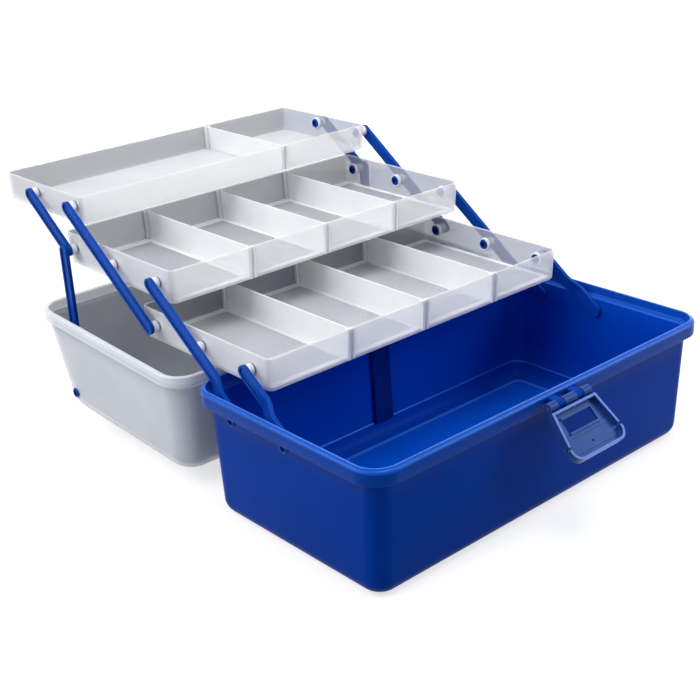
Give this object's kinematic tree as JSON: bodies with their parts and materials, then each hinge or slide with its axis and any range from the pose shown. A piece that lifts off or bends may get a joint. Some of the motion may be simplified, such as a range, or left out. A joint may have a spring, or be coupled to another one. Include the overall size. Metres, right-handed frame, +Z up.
{
  "type": "cantilever tray tackle box",
  "caption": "Open cantilever tackle box: moulded tub, frosted lid lying back, and divided trays carried on coupled parallel arms.",
  "frame": {"origin": "middle of the tub's flat underside, on the ground", "axes": "+X along the box to its right end seen from the latch, +Y from the latch side towards the hinge and the open lid, +Z up"},
  "size_m": [0.404, 0.5894, 0.2327],
  "materials": {
    "tub_plastic": "glossy blue moulded polypropylene",
    "arm_plastic": "satin blue moulded plastic",
    "latch_plastic": "satin grey-blue moulded plastic",
    "lid_plastic": "frosted translucent plastic",
    "tray_plastic": "frosted translucent plastic",
    "pin_steel": "plain wire pin"
  },
  "bodies": {
    "tub": {"base_tub": "tub_plastic", "hinge_pin_left": "pin_steel", "hinge_pin_right": "pin_steel", "latch_pin": "pin_steel"},
    "lid": {"lid_shell": "lid_plastic"},
    "carry_handle": {"carry_handle": "tub_plastic"},
    "lid_stays": {"lid_stay_left": "arm_plastic", "lid_stay_right": "arm_plastic"},
    "latch_flap": {"latch_flap": "latch_plastic"},
    "front_arms": {"front_arm_left": "arm_plastic", "front_arm_right": "arm_plastic"},
    "lower_arms": {"lower_arm_left": "arm_plastic", "lower_arm_right": "arm_plastic"},
    "upper_arms": {"upper_arm_left": "arm_plastic", "upper_arm_right": "arm_plastic"},
    "rear_arms": {"rear_arm_left": "arm_plastic", "rear_arm_right": "arm_plastic"},
    "tray_bottom": {"tray_bottom": "tray_plastic", "tray_bottom_divider_1": "tray_plastic", "tray_bottom_divider_2": "tray_plastic", "tray_bottom_divider_3": "tray_plastic"},
    "tray_middle": {"tray_middle": "tray_plastic", "tray_middle_divider_1": "tray_plastic", "tray_middle_divider_2": "tray_plastic", "tray_middle_divider_3": "tray_plastic"},
    "tray_top": {"tray_top": "tray_plastic", "tray_top_divider_1": "tray_plastic"}
  },
  "joints": [
    {"name": "lid_hinge", "type": "hinge", "parent": "tub", "child": "lid", "pos_m": [0, 0.12, 0.1143], "axis": [1, 0, 0], "range_deg": [0, 107]},
    {"name": "handle_pivot", "type": "hinge", "parent": "lid", "child": "carry_handle", "pos_m": [0, 0.24462, 0.00659], "axis": [1, 0, 0], "range_deg": [0, 95]},
    {"name": "stay_pivot", "type": "hinge", "parent": "lid", "child": "lid_stays", "pos_m": [0, 0.313, 0.04202], "axis": [1, 0, 0], "range_deg": [0, 53.5]},
    {"name": "front_arm_pivot", "type": "hinge", "parent": "tub", "child": "front_arms", "pos_m": [0, 0, 0.0961], "axis": [1, 0, 0], "range_deg": [0, 118.5]},
    {"name": "lower_arm_pivot", "type": "hinge", "parent": "tub", "child": "lower_arms", "pos_m": [0, 0.0663, 0.0961], "axis": [1, 0, 0], "range_deg": [0, 118.5]},
    {"name": "bottom_tray_pivot", "type": "hinge", "parent": "lower_arms", "child": "tray_bottom", "pos_m": [0, 0.12454, 0.13826], "axis": [1, 0, 0], "range_deg": [-118.5, 0]},
    {"name": "middle_tray_pivot", "type": "hinge", "parent": "lower_arms", "child": "tray_middle", "pos_m": [0, 0.18278, 0.18042], "axis": [1, 0, 0], "range_deg": [-118.5, 0]},
    {"name": "upper_arm_pivot", "type": "hinge", "parent": "tray_bottom", "child": "upper_arms", "pos_m": [0, 0.19084, 0.13826], "axis": [1, 0, 0], "range_deg": [0, 118.5]},
    {"name": "rear_arm_pivot", "type": "hinge", "parent": "tray_middle", "child": "rear_arms", "pos_m": [0, 0.31538, 0.18042], "axis": [1, 0, 0], "range_deg": [0, 118.5]},
    {"name": "top_tray_pivot", "type": "hinge", "parent": "upper_arms", "child": "tray_top", "pos_m": [0, 0.30733, 0.22258], "axis": [1, 0, 0], "range_deg": [-118.5, 0]},
    {"name": "latch_hinge", "type": "hinge", "parent": "tub", "child": "latch_flap", "pos_m": [0, -0.119, 0.1085], "axis": [-1, 0, 0], "range_deg": [-44, 133]}
  ],
  "couplings": [
    {"joint": "stay_pivot", "follows": "lid_hinge", "ratio": 0.4953},
    {"joint": "front_arm_pivot", "follows": "lid_hinge", "ratio": 1.1028},
    {"joint": "lower_arm_pivot", "follows": "lid_hinge", "ratio": 1.1028},
    {"joint": "bottom_tray_pivot", "follows": "lid_hinge", "ratio": -1.1028},
    {"joint": "middle_tray_pivot", "follows": "lid_hinge", "ratio": -1.1028},
    {"joint": "upper_arm_pivot", "follows": "lid_hinge", "ratio": 1.1028},
    {"joint": "rear_arm_pivot", "follows": "lid_hinge", "ratio": 1.1028},
    {"joint": "top_tray_pivot", "follows": "lid_hinge", "ratio": -1.1028}
  ]
}
